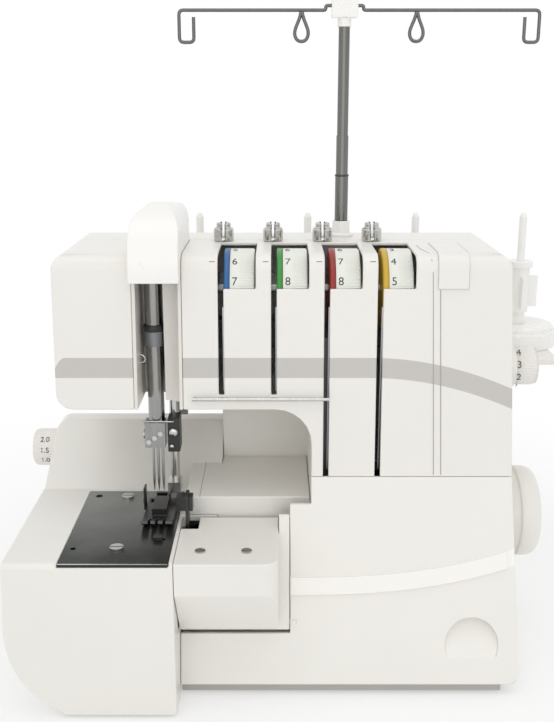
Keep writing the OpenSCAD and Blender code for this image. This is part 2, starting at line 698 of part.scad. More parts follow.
// Needle bar, needles and presser foot
clamp_z = 160;
clamp_w = 14;
needle_tip_z = 122;
needle_spread = 3.3;
module needle_bar() finish(steel) {
    rod_z(clamp_z, upper_guide_z + guide_h + needle_stroke, needle_x, needle_y, needle_r);
    block([needle_x - clamp_w / 2 - 1, needle_y - 6, clamp_z - 4],
        [needle_x + clamp_w / 2 - 1, needle_y + 6, clamp_z + 14]);
}
module needles() finish(steel) for (i = [-1 : 1]) {
    rod_z(needle_tip_z + 8, clamp_z - 4, needle_x + i * needle_spread, needle_y, 1);
    translate([needle_x + i * needle_spread, needle_y, needle_tip_z])
        cylinder(h = 8, r1 = 0.2, r2 = 1);
}
module needle_screws() finish(black) for (i = [-1 : 1])
    rod_y(needle_y - 9, needle_y - 6, needle_x + i * 4 - 1, clamp_z + 4 + i * 3, 1.7);
ankle_z = bed_z + 22;
module presser_bar() finish(steel) {
    rod_z(ankle_z - 6, upper_guide_z + guide_h + 3, presser_x, presser_y, presser_bar_dia / 2);
    block([presser_x - 3, presser_y, arm_z + 6], [presser_x + 3, lever_y + 18, arm_z + 9]);
    block([needle_x + clamp_w / 2 - 1 + gap, foot_y1 - 6, ankle_z - 12],
        [presser_x + 4, presser_y + 4, ankle_z - 4]);
}
foot_x = needle_x + 2.5;
foot_y1 = needle_y + 5;
foot_y0 = foot_y1 - 46;
module presser_foot() finish(dark_steel) difference() {
    union() {
        along_x([[foot_y0, bed_z + 5], [foot_y0 + 7, bed_z + 1.2], [foot_y1, bed_z + 1.2],
            [foot_y1, bed_z + 4], [foot_y0 + 9, bed_z + 4], [foot_y0 + 1, bed_z + 7]],
            foot_x - presser_foot_w / 2, foot_x + presser_foot_w / 2);
        block([foot_x - 5, foot_y0 + 16, bed_z + 3], [foot_x + 5, foot_y1, bed_z + 9]);
    }
    block([needle_x - 6, needle_y - 2.6, bed_z], [needle_x + 5.5, needle_y + 2.6, bed_z + 12]);
    for (i = [-1 : 1]) block([foot_x + i * 5 - 0.8, foot_y0 - 1, bed_z],
        [foot_x + i * 5 + 0.8, foot_y0 + 11, bed_z + 12]);
}
module presser_lever() finish(steel) difference() {
    union() {
        rod_x(presser_x - 2.5, presser_x + 3.9, lever_y, lever_z, 5);
        along_x([[lever_y - 4, lever_z - 3], [lever_y + 2, lever_z - 5], [lever_y + 46, lever_z - 33],
            [lever_y + 49, lever_z - 29], [lever_y + 22, lever_z - 9], [lever_y + 19, arm_z + 6 - gap],
            [lever_y + 15, arm_z + 6 - gap], [lever_y + 10, lever_z + 2], [lever_y, lever_z + 5]],
            presser_x - 2.5, presser_x + 3.9);
    }
    rod_x(presser_x - 4, presser_x + 5, lever_y, lever_z, 2.5 + fit);
}

// Door with the cloth plate extension
door_top = bed_z + 9;
hinge_z = door_z + 3;
hinge_y = front_y(hinge_z) + wall + 2;
hinge_r = 1.5;
knuckles = [bed_right + 14, door_right - 20];
module looper_cover() finish(off_white) difference() {
    union() {
        intersection() {
            front_sheet(0, wall);
            along_y([[bed_right + gap, door_z], [door_right, door_z], [door_right, door_top],
                [extension_right + gap, door_top], [extension_right + gap, bed_z - 3],
                [bed_right + gap, bed_z - 3]], 0, far);
        }
        for (x = knuckles) rod_x(x, x + 8, hinge_y, hinge_z, hinge_r + 1.8);
    }
    for (x = knuckles) rod_x(x - 1, x + 9, hinge_y, hinge_z, hinge_r + fit);
}
module hinge_pin() finish(steel)
    rod_x(bed_right - wall, door_right + 4.5, hinge_y, hinge_z, hinge_r);
extension_right = bed_right + extension_w;
extension_lip = bed_z - 22;
undercut_z = door_z + 6;
function extension_outline(i) = [[i, extension_lip], [i, bed_z - i], [front_y(bed_z - 3) - i, bed_z - i],
    [front_y(bed_z - 3) - i, bed_z - 3], [front_y(undercut_z) - i, undercut_z + i],
    [front_y(undercut_z) - 10, undercut_z + i]];
module cloth_plate_extension() finish(off_white) difference() {
    intersection() {
        union() {
            along_x(extension_outline(0), bed_right + gap, extension_right);
            block([bed_right + gap, front_y(bed_z - 3) - 1, bed_z - 3],
                [extension_right, extension_d, bed_z]);
        }
        translate([0, 0, -1]) linear_extrude(far) polygon(concat(
            [[bed_right + gap, 0], [bed_right + gap, far], [extension_right, far]],
            corner([extension_right - 9, 9], 9, 0, -90)));
    }
    intersection() {
        along_x(extension_outline(wall), bed_right + gap + wall, extension_right - wall - 2);
        block([-far, wall, 0], [far, far, far]);
    }
    block([-far, knife_y0 - 4, bed_z - 5], [knife_x + 12, far, bed_z + 1]);
    for (spot = extension_spots) rod_z(bed_z - 3 - wall, bed_z + 1, spot[0], spot[1], 1.6);
}
extension_spots = [for (k = [0.21, 0.66]) [bed_right + k * extension_w + 2, 18]];
module extension_screws() finish(steel) for (spot = extension_spots) difference() {
    union() {
        rod_z(bed_z - 6, bed_z, spot[0], spot[1], 1.6);
        rod_z(bed_z, bed_z + 1, spot[0], spot[1], 3.4);
    }
    block([spot[0] - 4, spot[1] - 0.5, bed_z + 0.4], [spot[0] + 4, spot[1] + 0.5, bed_z + 2]);
}

// Spool stand
pin_foot_r = pin_dia / 2 + 0.4;
pin_xs = [for (i = [0 : 3]) first_pin_x + i * pin_pitch];
module spool_stand() finish(off_white) {
    block([pin_xs[0] - 30, rear_y, stand_z], [pin_xs[3] + 22, stand_y + 24, stand_z + stand_t]);
    block([pin_xs[0] - 20, rear_y, stand_z - 26], [tower_top_right - 6, rear_y + 5, stand_z + 1]);
}
module spool_discs() finish("white") for (x = pin_xs) difference() {
    union() {
        rod_z(stand_z + stand_t, disc_z - 4, x, stand_y, disc_dia / 2);
        rod_z(disc_z - 4, disc_z, x, stand_y, disc_dia / 2 - 3);
    }
    rod_z(stand_z, disc_z + 1, x, stand_y, pin_foot_r + gap);
}
module spool_pins() finish([0.85, 0.86, 0.82]) for (x = pin_xs) {
    rod_z(stand_z + stand_t, disc_z + cone_h, x, stand_y, pin_foot_r);
    rod_z(disc_z + cone_h, pin_tip_z - 3, x, stand_y, pin_dia / 2);
    translate([x, stand_y, pin_tip_z - 3]) cylinder(h = 3, r1 = pin_dia / 2, r2 = pin_dia / 2 - 1.5);
}
module cone_holders() finish([0.88, 0.9, 0.86]) for (x = pin_xs)
    translate([x, stand_y, disc_z]) difference() {
        union() {
            cylinder(h = 12, r = 6);
            translate([0, 0, 10]) cylinder(h = cone_h - 14, r = 8);
            translate([0, 0, cone_h - 5]) cylinder(h = 5, r = 10);
            for (a = [0, 90]) rotate(a) translate([-15, -0.8, 14]) cube([30, 1.6, cone_h - 26]);
        }
        translate([0, 0, -1]) cylinder(h = cone_h + 2, r = pin_foot_r + fit);
    }

// Thread tree: three tubes that slide into each other
socket_h = 11;
tube_wall = 0.4;
tube_foot = [top_z - 60, top_z - 60 + tube_travel + 2, top_z];
tube_top = [top_z + 44, top_z + 71, wire_z - 5];
function tube_r(i) = tube_dia / 2 - i * tube_wall;
module tree_socket() finish("white") difference() {
    union() {
        rod_z(tree_foot_z, top_z + socket_h, pole_x, pole_y, tube_dia / 2 + 1.6);
        rod_z(top_z, top_z + 2, pole_x, pole_y, tube_dia / 2 + 4);
    }
    rod_z(tree_foot_z - 1, far, pole_x, pole_y, tube_dia / 2);
}
module tree_tube(i) finish(steel) difference() {
    rod_z(tube_foot[i], tube_top[i], pole_x, pole_y, tube_r(i));
    rod_z(tube_foot[i] - 1, tube_top[i] + 1, pole_x, pole_y, tube_r(i + 1) + fit);
}
module tree_lower_tube() tree_tube(0);
module tree_middle_tube() tree_tube(1);
module tree_upper_tube() tree_tube(2);
holder_w = 18;
module tree_holder() finish("white") difference() {
    union() {
        rod_z(wire_z - 11, wire_z - 4, pole_x, pole_y, tube_dia / 2);
        block([pole_x - holder_w / 2, pole_y - 5, wire_z - 5], [pole_x + holder_w / 2, pole_y + 5,
            wire_z + 7]);
    }
    rod_z(wire_z - 12, wire_z - 5, pole_x, pole_y, tube_r(2) + fit);
    rod_x(pole_x - holder_w, pole_x + holder_w, pole_y, wire_z + 3, wire_dia / 2);
}
wire_r = wire_dia / 2;
bar_left = pole_x - 114;
guide_pitch = 79.4;
eye_r = 5.5;
module bend(x, z) translate([x, pole_y, z]) sphere(r = wire_r);
module eye(x) {
    translate([x, pole_y, wire_z - eye_r - 9]) rotate([90, 0, 0]) rotate_extrude()
        translate([eye_r, 0]) circle(r = wire_r);
    rod_z(wire_z - 10, wire_z, x, pole_y, wire_r);
}
module end_hook(x, side) {
    rod_z(wire_z - 21, wire_z, x, pole_y, wire_r);
    rod_x(min(x, x + side * 10), max(x, x + side * 10), pole_y, wire_z - 21, wire_r);
    rod_z(wire_z - 21, wire_z - 4, x + side * 10, pole_y, wire_r);
    for (spot = [[x, wire_z], [x, wire_z - 21], [x + side * 10, wire_z - 21]]) bend(spot[0], spot[1]);
}
module thread_guide_wire() finish(steel) {
    rod_x(bar_left, pole_x - holder_w / 2 - 4, pole_y, wire_z, wire_r);
    rod_x(pole_x + holder_w / 2 + 4, bar_right, pole_y, wire_z, wire_r);
    for (side = [-1, 1]) {
        rod_z(wire_z, wire_z + 3, pole_x + side * (holder_w / 2 + 4), pole_y, wire_r);
        bend(pole_x + side * (holder_w / 2 + 4), wire_z);
        bend(pole_x + side * (holder_w / 2 + 4), wire_z + 3);
    }
    rod_x(pole_x - holder_w / 2 - 4, pole_x + holder_w / 2 + 4, pole_y, wire_z + 3, wire_r);
    end_hook(bar_left, 1);
    end_hook(bar_right, -1);
    for (i = [1, 2]) eye(bar_left + 5 + i * guide_pitch);
}
bar_right = bar_left + 10 + 3 * guide_pitch;

base_plate();
rubber_feet();
frame_casting();
lower_front_cover();
tension_cover();
face_cover();
rear_cover();
needle_channel();
take_up_cover();
bed_cover();
deck_cover();
casing_screws();
needle_plate();
needle_plate_screws();
stitch_finger_slide();
lower_knife();
guide_rod();
thread_guides();
thread_cutter();
tension_axle();
tension_dial_1();
tension_dial_2();
tension_dial_3();
tension_dial_4();
stitch_length_dial();
differential_feed_dial();
motor();
motor_bracket();
motor_pulley();
main_shaft();
shaft_bearings();
drive_belt();
handwheel();
needle_bar();
needles();
needle_screws();
presser_bar();
presser_foot();
presser_lever();
upper_knife();
upper_looper();
lower_looper();
feed_dogs();
power_inlet();
power_switch();
looper_cover();
cloth_plate_extension();
extension_screws();
hinge_pin();
spool_stand();
spool_pins();
spool_discs();
cone_holders();
tree_holder();
tree_socket();
tree_lower_tube();
tree_middle_tube();
tree_upper_tube();
thread_guide_wire();
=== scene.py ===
"""Serger overlock machine: finish, small detail, studio and camera."""
import math

import bmesh
import bpy
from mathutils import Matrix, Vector


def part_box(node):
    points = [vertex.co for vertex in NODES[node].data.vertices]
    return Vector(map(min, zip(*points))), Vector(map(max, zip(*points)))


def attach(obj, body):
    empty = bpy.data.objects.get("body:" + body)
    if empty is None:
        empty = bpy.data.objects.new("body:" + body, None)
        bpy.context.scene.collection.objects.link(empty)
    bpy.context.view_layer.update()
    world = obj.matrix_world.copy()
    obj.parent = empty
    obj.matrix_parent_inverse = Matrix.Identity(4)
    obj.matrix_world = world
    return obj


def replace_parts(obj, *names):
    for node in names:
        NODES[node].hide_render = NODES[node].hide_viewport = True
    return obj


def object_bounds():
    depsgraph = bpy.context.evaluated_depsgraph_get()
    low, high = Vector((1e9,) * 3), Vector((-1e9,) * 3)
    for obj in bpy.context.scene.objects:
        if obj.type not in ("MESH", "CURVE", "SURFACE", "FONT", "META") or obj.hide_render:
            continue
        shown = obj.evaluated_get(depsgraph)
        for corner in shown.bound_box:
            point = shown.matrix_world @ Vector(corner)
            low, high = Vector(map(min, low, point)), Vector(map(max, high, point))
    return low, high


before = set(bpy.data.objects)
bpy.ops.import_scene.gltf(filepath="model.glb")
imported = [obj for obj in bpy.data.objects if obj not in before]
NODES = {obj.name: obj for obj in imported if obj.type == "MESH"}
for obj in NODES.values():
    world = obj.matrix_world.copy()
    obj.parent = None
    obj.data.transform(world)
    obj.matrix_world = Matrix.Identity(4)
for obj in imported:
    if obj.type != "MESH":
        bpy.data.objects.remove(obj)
CAD_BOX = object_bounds()
MM = 0.001
TAU = 2 * math.pi

# Machine coordinates are in mm: X from the camera's line of sight, Y from the bed's front and
# Z from the table. The left dial's end is the part's lowest X, and the bed's front its lowest Y.
FEED_DIAL_REACH = 190.5
ORIGIN = Vector((CAD_BOX[0].x / MM + FEED_DIAL_REACH, CAD_BOX[0].y / MM, 0))


def at(x, y, z):
    """A place in machine coordinates, as a point of the frame in metres."""
    return (Vector((x, y, z)) + ORIGIN) * MM


def span(node):
    """A node's lowest and highest corners in machine coordinates."""
    low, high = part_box(node)
    return low / MM - ORIGIN, high / MM - ORIGIN


def middle(node):
    """The middle of a node's box in machine coordinates."""
    low, high = span(node)
    return (low + high) / 2


# ---------------------------------------------------------------- materials
class Shader:
    """A small builder of node materials. Its place is in metres, in the frame."""

    def __init__(self, name, **values):
        self.material = bpy.data.materials.new(name)
        self.material.use_nodes = True
        self.tree = self.material.node_tree
        self.body = self.tree.nodes["Principled BSDF"]
        for key, value in values.items():
            self.body.inputs[key.replace("_", " ")].default_value = value
        self.place = self.tree.nodes.new("ShaderNodeTexCoord").outputs["Object"]

    def node(self, kind, **settings):
        made = self.tree.nodes.new(kind)
        for key, value in settings.items():
            setattr(made, key, value)
        return made

    def link(self, source, target):
        self.tree.links.new(source, target)

    def axes(self):
        """The place's X, Y and Z."""
        split = self.node("ShaderNodeSeparateXYZ")
        self.link(self.place, split.inputs["Vector"])
        return split.outputs["X"], split.outputs["Y"], split.outputs["Z"]

    def stretched(self, scale):
        mapping = self.node("ShaderNodeMapping")
        mapping.inputs["Scale"].default_value = scale
        self.link(self.place, mapping.inputs["Vector"])
        return mapping.outputs["Vector"]

    def noise(self, scale, detail=3, vector=None):
        made = self.node("ShaderNodeTexNoise")
        made.inputs["Scale"].default_value = scale
        made.inputs["Detail"].default_value = detail
        self.link(vector or self.place, made.inputs["Vector"])
        return made.outputs["Fac"]

    def ramp(self, source, low, high, at_low=0.35, at_high=0.65):
        made = self.node("ShaderNodeValToRGB")
        made.color_ramp.elements[0].position = at_low
        made.color_ramp.elements[1].position = at_high
        made.color_ramp.elements[0].color = (*low, 1)
        made.color_ramp.elements[1].color = (*high, 1)
        self.link(source, made.inputs["Fac"])
        return made.outputs["Color"]

    def colour(self, source):
        self.link(source, self.body.inputs["Base Color"])

    def rough(self, source, low, high):
        made = self.node("ShaderNodeMapRange")
        made.inputs["To Min"].default_value = low
        made.inputs["To Max"].default_value = high
        self.link(source, made.inputs["Value"])
        self.link(made.outputs["Result"], self.body.inputs["Roughness"])

    def bump(self, source, strength, distance):
        made = self.node("ShaderNodeBump")
        made.inputs["Strength"].default_value = strength
        made.inputs["Distance"].default_value = distance
        self.link(source, made.inputs["Height"])
        self.link(made.outputs["Normal"], self.body.inputs["Normal"])

    def math(self, operation, first, second):
        made = self.node("ShaderNodeMath", operation=operation)
        for socket, value in zip(made.inputs, (first, second)):
            if isinstance(value, (int, float)):
                socket.default_value = value
            else:
                self.link(value, socket)
        return made.outputs["Value"]

    def overpaint(self, mask, colour):
        """Lays a plain colour over the one that is there, where the mask is 1."""
        mix = self.node("ShaderNodeMix", data_type="RGBA")
        ground = self.body.inputs["Base Color"].links[0].from_socket
        self.link(mask, mix.inputs["Factor"])
        self.link(ground, mix.inputs["A"])
        mix.inputs["B"].default_value = (*colour, 1)
        self.colour(mix.outputs["Result"])


def shade(colour, factor):
    return tuple(channel * factor for channel in colour)


def moulded(name, colour, rough=0.32, grain=0.12):
    """Moulded plastic: faint flow marks, fine grain and uneven gloss."""
    flow_scale, grain_scale, gloss_scale, grain_depth = 14, 2600, 60, 0.00006
    shader = Shader(name, Coat_Weight=0.12, Coat_Roughness=0.25)
    flow = shader.noise(flow_scale, 4)
    fine = shader.noise(grain_scale, 2)
    shader.colour(shader.ramp(flow, shade(colour, 0.985), colour))
    shader.rough(shader.noise(gloss_scale), rough - 0.04, rough + 0.06)
    shader.bump(fine, grain, grain_depth)
    return shader


def metal(name, colour, rough, brush, strength=0.15):
    """Metal with brush or polish marks, finest along the axis whose brush scale is the largest."""
    mark_depth = 0.00003
    shader = Shader(name, Metallic=1.0)
    marks = shader.noise(1, 4, shader.stretched(brush))
    shader.colour(shader.ramp(marks, shade(colour, 0.82), colour, 0.3, 0.75))
    shader.rough(marks, rough * 0.75, rough * 1.3)
    shader.bump(marks, strength, mark_depth)
    return shader


WHITE = (0.83, 0.81, 0.765)
BRIGHT = (0.9, 0.89, 0.86)
STRIPE_GREY = (0.55, 0.53, 0.5)
# Painted highlight where light catches the sloped face of the raised sweep on the front cover
SWEEP_HIGHLIGHT = (0.9, 0.88, 0.84)


def striped_shell():
    """The shell's plastic with the grey band, which bends down at the right and rounds off at the left."""
    band_top, band_bottom = 224.9, 211.5
    bend_start, bend = 61, 0.00235
    rounding_start, rounding = -139, 0.16
    band_back = 118
    shader = moulded("shell_with_band", WHITE)
    x, y, z = shader.axes()
    right = shader.math("MAXIMUM", shader.math("SUBTRACT", x, at(bend_start, 0, 0).x), 0.0)
    drop = shader.math("MULTIPLY", shader.math("MULTIPLY", right, right), bend / MM)
    height = shader.math("ADD", z, drop)
    left = shader.math("MAXIMUM", shader.math("SUBTRACT", at(rounding_start, 0, 0).x, x), 0.0)
    crown = shader.math("MULTIPLY", shader.math("MULTIPLY", left, left), rounding / MM)
    above = shader.math("GREATER_THAN", height, band_bottom * MM)
    below = shader.math("LESS_THAN", shader.math("ADD", height, crown), band_top * MM)
    front = shader.math("LESS_THAN", y, at(0, band_back, 0).y)
    band = shader.math("MULTIPLY", above, below)
    shader.overpaint(shader.math("MULTIPLY", band, front), STRIPE_GREY)
    return shader.material


def front_with_sweep_highlight():
    """The shell's plastic with a painted highlight on the raised band that sweeps up to the right."""
    sweep_start, sweep_run, sweep_rise, sweep_power = 8.4, 140, 15.4, 2.6
    band_top, band_bottom, band_back = 78.4, 67.3, 48
    shader = moulded("shell_with_sweep_highlight", WHITE)
    x, y, z = shader.axes()
    along = shader.math("SUBTRACT", x, at(sweep_start, 0, 0).x)
    run = shader.math("MAXIMUM", shader.math("DIVIDE", along, sweep_run * MM), 0.0)
    rise = shader.math("MULTIPLY", shader.math("POWER", run, sweep_power), sweep_rise * MM)
    height = shader.math("SUBTRACT", z, rise)
    # Painted highlight: the brighter band lies between the two curves, on the front faces only
    below = shader.math("LESS_THAN", height, band_top * MM)
    above = shader.math("GREATER_THAN", height, band_bottom * MM)
    highlight_band = shader.math("MULTIPLY", below, above)
    front = shader.math("LESS_THAN", y, at(0, band_back, 0).y)
    shader.overpaint(shader.math("MULTIPLY", highlight_band, front), SWEEP_HIGHLIGHT)
    return shader.material


def plate_steel_painted_reflection():
    """Polished plate with a painted reflection, darkest at its front edge and lighter towards the back,
    with soft clouds and fine brush marks.
    """
    # Painted reflection: the plate's colour at its front edge and at its back
    front_reflection, rear_reflection = (0.035, 0.04, 0.037), (0.24, 0.245, 0.235)
    front_end, rear_end = 5, 112
    cloud_scale, cloud_share = 30, 0.5
    brush, mark_strength, mark_depth = (40, 900, 40), 0.1, 0.00003
    shader = Shader("plate_steel_painted_reflection", Metallic=0.85)
    _, y, _ = shader.axes()
    # The painted reflection grows lighter from the front edge to the back, along Y
    depth = shader.node("ShaderNodeMapRange")
    depth.inputs["From Min"].default_value = at(0, front_end, 0).y
    depth.inputs["From Max"].default_value = at(0, rear_end, 0).y
    shader.link(y, depth.inputs["Value"])
    marks = shader.noise(1, 4, shader.stretched(brush))
    cloud = shader.math("SUBTRACT", shader.noise(cloud_scale), 0.5)
    reflection_and_cloud = shader.math("ADD", depth.outputs["Result"], shader.math("MULTIPLY", cloud, cloud_share))
    shader.colour(shader.ramp(reflection_and_cloud, front_reflection, rear_reflection, 0.0, 1.0))
    shader.rough(marks, 0.24, 0.36)
    shader.bump(marks, mark_strength, mark_depth)
    return shader.material


LOOKS = {
    "sweep_highlight": front_with_sweep_highlight(),
    "shell": moulded("white_shell", WHITE).material,
    "band": striped_shell(),
    "bright": moulded("bright_white", BRIGHT, 0.28).material,
    "grey": moulded("grey_plastic", (0.42, 0.4, 0.37), 0.4).material,
    "channel": moulded("channel_grey", (0.78, 0.75, 0.7), 0.3).material,
    "black": moulded("black_plastic", (0.02, 0.02, 0.02), 0.45).material,
    "rubber": moulded("rubber", (0.03, 0.03, 0.03), 0.75, 0.3).material,
    "ink": moulded("ink", (0.03, 0.03, 0.03), 0.5).material,
    "ivory": moulded("ivory_plastic", (0.8, 0.81, 0.75), 0.35).material,
    "blue": moulded("dial_blue", (0.02, 0.12, 0.33), 0.35).material,
    "green": moulded("dial_green", (0.04, 0.27, 0.04), 0.35).material,
    "red": moulded("dial_red", (0.3, 0.02, 0.015), 0.35).material,
    "yellow": moulded("dial_yellow", (0.62, 0.4, 0.03), 0.35).material,
    "chrome": metal("chrome", (0.62, 0.62, 0.6), 0.16, (300, 300, 40)).material,
    "tube": metal("tube_chrome", (0.2, 0.2, 0.19), 0.24, (900, 900, 20)).material,
    # Painted reflection: the needle bar's chrome is a darker copy of the chrome, for the dark reflection
    # down the bar's middle
    "bar": metal("bar_chrome_painted_dark_reflection", (0.36, 0.36, 0.35), 0.2, (300, 300, 30)).material,
    "wire": metal("wire_steel", (0.17, 0.17, 0.165), 0.25, (900, 900, 900)).material,
    "steel": metal("steel", (0.5, 0.5, 0.5), 0.3, (500, 500, 60)).material,
    "plate": plate_steel_painted_reflection(),
    "dark": metal("dark_steel", (0.09, 0.09, 0.09), 0.35, (400, 400, 400)).material,
    "cast": metal("cast_metal", (0.3, 0.31, 0.33), 0.55, (300, 300, 300), 0.4).material,
    "bronze": metal("bronze", (0.55, 0.4, 0.18), 0.4, (600, 600, 600)).material,
}


# ---------------------------------------------------------------- pieces from meshes
WELD = 1e-6
BEVEL_SEGMENTS, BEVEL_ANGLE = 3, math.radians(32)
FLAT_ANGLE = math.radians(0.15)


def added(name, data):
    """A new object in the scene."""
    made = bpy.data.objects.new(name, data)
    bpy.context.scene.collection.objects.link(made)
    return made


def keep(name, mesh, look, body="machine"):
    """Adds a finished mesh as a piece that rides on a body."""
    piece = added(name, mesh)
    mesh.materials.clear()
    mesh.materials.append(LOOKS[look])
    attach(piece, body)
    return piece


def finished(work, name):
    """The mesh of a bmesh, which is freed."""
    mesh = bpy.data.meshes.new(name)
    work.to_mesh(mesh)
    work.free()
    return mesh


def settled(source, name):
    """The mesh of an object with its modifiers applied; the object itself goes."""
    view = bpy.context.evaluated_depsgraph_get()
    mesh = bpy.data.meshes.new_from_object(source.evaluated_get(view))
    mesh.name = name
    bpy.data.objects.remove(source)
    return mesh


def rounded(mesh, name, width):
    """A mesh with its sharp edges rounded and its flat faces kept flat."""
    temp = added(name + "_raw", mesh)
    bevel = temp.modifiers.new("bevel", "BEVEL")
    bevel.width = width * MM
    bevel.segments = BEVEL_SEGMENTS
    bevel.limit_method = "ANGLE"
    bevel.angle_limit = BEVEL_ANGLE
    bevel.use_clamp_overlap = False
    bevel.face_strength_mode = "FSTR_ALL"
    normals = temp.modifiers.new("normals", "WEIGHTED_NORMAL")
    normals.keep_sharp = False
    normals.use_face_influence = True
    for face in mesh.polygons:
        face.use_smooth = True
    return settled(temp, name)


def softened(node, width, look, body="machine", holed=False):
    """Stands a copy of a CAD node with rounded edges in its place.

    holed is for a node that has big flat faces with holes in them, which are cut into triangles.
    """
    mesh = NODES[node].data.copy()
    work = bmesh.new()
    work.from_mesh(mesh)
    bmesh.ops.remove_doubles(work, verts=work.verts, dist=WELD)
    bmesh.ops.dissolve_limit(work, angle_limit=FLAT_ANGLE, verts=work.verts, edges=work.edges)
    if holed:
        bmesh.ops.triangulate(work, faces=work.faces, ngon_method="BEAUTY")
    work.to_mesh(mesh)
    work.free()
    name = node + "_finished"
    piece = keep(name, rounded(mesh, name, width), look, body)
    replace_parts(piece, node)
    return piece


def finish_node(node, look):
    """Gives a CAD node that stays its finished material."""
    for holder in NODES[node].material_slots:
        holder.link = "OBJECT"
        holder.material = LOOKS[look]


def box_mesh(name, low, high):
    """A closed block between two corners in mm, for bevelling."""
    work = bmesh.new()
    bmesh.ops.create_cube(work, size=1)
    low, high = Vector(low), Vector(high)
    for vertex in work.verts:
        share = vertex.co + Vector((0.5, 0.5, 0.5))
        vertex.co = at(*(low[i] + share[i] * (high[i] - low[i]) for i in range(3)))
    return finished(work, name)


def small_block(name, low, high, look, width, body="machine"):
    """A block between two corners in mm, with its edges rounded."""
    return keep(name, rounded(box_mesh(name, low, high), name, width), look, body)


def rod(name, points, radius, look, body="machine", smooth=False):
    """A round wire through points in mm, or drawn smoothly near them."""
    curve = bpy.data.curves.new(name, "CURVE")
    curve.dimensions = "3D"
    curve.bevel_depth = radius * MM
    curve.bevel_resolution = 4
    curve.use_fill_caps = True
    spline = curve.splines.new("NURBS" if smooth else "POLY")
    spline.points.add(len(points) - 1)
    for point, spot in zip(spline.points, points):
        point.co = (*at(*spot), 1)
    spline.use_endpoint_u = True
    spline.order_u = 3
    mesh = settled(added(name, curve), name)
    for face in mesh.polygons:
        face.use_smooth = True
    return keep(name, mesh, look, body)


def numeral(name, text, size, to_place, body):
    """A number laid on a surface: to_place maps (across, up) in mm to a place in mm."""
    curve = bpy.data.curves.new(name, "FONT")
    curve.body = text
    curve.size = size
    curve.align_x = "CENTER"
    curve.align_y = "CENTER"
    mesh = settled(added(name, curve), name)
    for vertex in mesh.vertices:
        vertex.co = at(*to_place(vertex.co.x, vertex.co.y))
    return keep(name, mesh, "ink", body)


# ---------------------------------------------------------------- turned pieces
STEPS_PER_RIB = 6


def skinned(work, rings, ring_shaped=False):
    """Smooth faces between neighbouring rings of points, with flat ends unless it is ring-shaped."""
    following = rings[1:] + rings[:1] if ring_shaped else rings[1:]
    for lower, upper in zip(rings, following):
        for k in range(len(lower)):
            n = (k + 1) % len(lower)
            work.faces.new((lower[k], lower[n], upper[n], upper[k])).smooth = True
    if not ring_shaped:
        work.faces.new(list(reversed(rings[0])))
        work.faces.new(rings[-1])


def lathe(name, profile, steps, ring_shaped=False):
    """Revolves (radius, height) points round the Z axis, with closed ends or as a ring."""
    work = bmesh.new()
    rings = []
    for radius, height in profile:
        ring = []
        for k in range(steps):
            turn = TAU * k / steps
            ring.append(work.verts.new((radius * math.cos(turn), radius * math.sin(turn), height)))
        rings.append(ring)
    skinned(work, rings, ring_shaped)
    return finished(work, name)


def placed(mesh, where, along):
    """Moves a mesh made in mm round the Z axis to a place, with its axis along z, x, -x or -y."""
    for vertex in mesh.vertices:
        x, y, z = vertex.co
        spot = {"z": (x, y, z), "x": (z, x, y), "-x": (-z, -x, y), "-y": (x, -z, y)}[along]
        vertex.co = at(*(Vector(spot) + Vector(where)))
    return mesh


def ribbed_knob(name, profile, centre, ribs, depth, sharpness):
    """A piece turned round an axis along X.

    Profile points are (radius, along, ribbed), and the grooves between the ribs are cut where
    ribbed is 1.
    """
    steps = ribs * STEPS_PER_RIB
    centre_y, centre_z = centre
    work = bmesh.new()
    rings = []
    for radius, along, ribbed in profile:
        ring = []
        for k in range(steps):
            turn = TAU * k / steps
            cut = ribbed * depth * (0.5 - 0.5 * math.cos(turn * ribs)) ** sharpness
            reach = radius - cut
            spot = at(along, centre_y + reach * math.cos(turn), centre_z + reach * math.sin(turn))
            ring.append(work.verts.new(spot))
        rings.append(ring)
    skinned(work, rings)
    bmesh.ops.recalc_face_normals(work, faces=work.faces)
    return finished(work, name)


def on_knob(centre, radius, where, degrees, lift):
    """Maps (across, up) in mm onto a knob along X, whose front is at 0 degrees."""
    centre_y, centre_z = centre
    reach = radius + lift

    def place(across, up):
        turn = math.radians(degrees) + up / radius
        return (where + across, centre_y - reach * math.cos(turn), centre_z + reach * math.sin(turn))
    return place


# ---------------------------------------------------------------- shells and plain nodes
softened("tension_cover", 0.9, "band")
softened("face_cover", 0.9, "band")
softened("lower_front_cover", 0.5, "sweep_highlight", holed=True)
softened("rear_cover", 1.0, "shell")
softened("bed_cover", 0.8, "shell")
softened("take_up_cover", 0.8, "bright")
softened("deck_cover", 0.9, "shell")
softened("looper_cover", 0.6, "shell", "looper_door")
softened("cloth_plate_extension", 0.8, "shell", "looper_door")
softened("base_plate", 0.5, "grey")
softened("spool_stand", 0.8, "shell")
softened("spool_discs", 0.7, "bright")
softened("tree_socket", 0.5, "bright")
softened("tree_holder", 0.6, "bright", "tree_top")
softened("needle_channel", 0.4, "channel")
softened("cone_holders", 0.4, "bright")
softened("thread_guides", 1.2, "chrome")
softened("presser_foot", 0.3, "dark", "presser")
softened("thread_cutter", 0.6, "grey")
softened("power_inlet", 0.6, "black")
softened("power_switch", 0.4, "black", "power_switch")

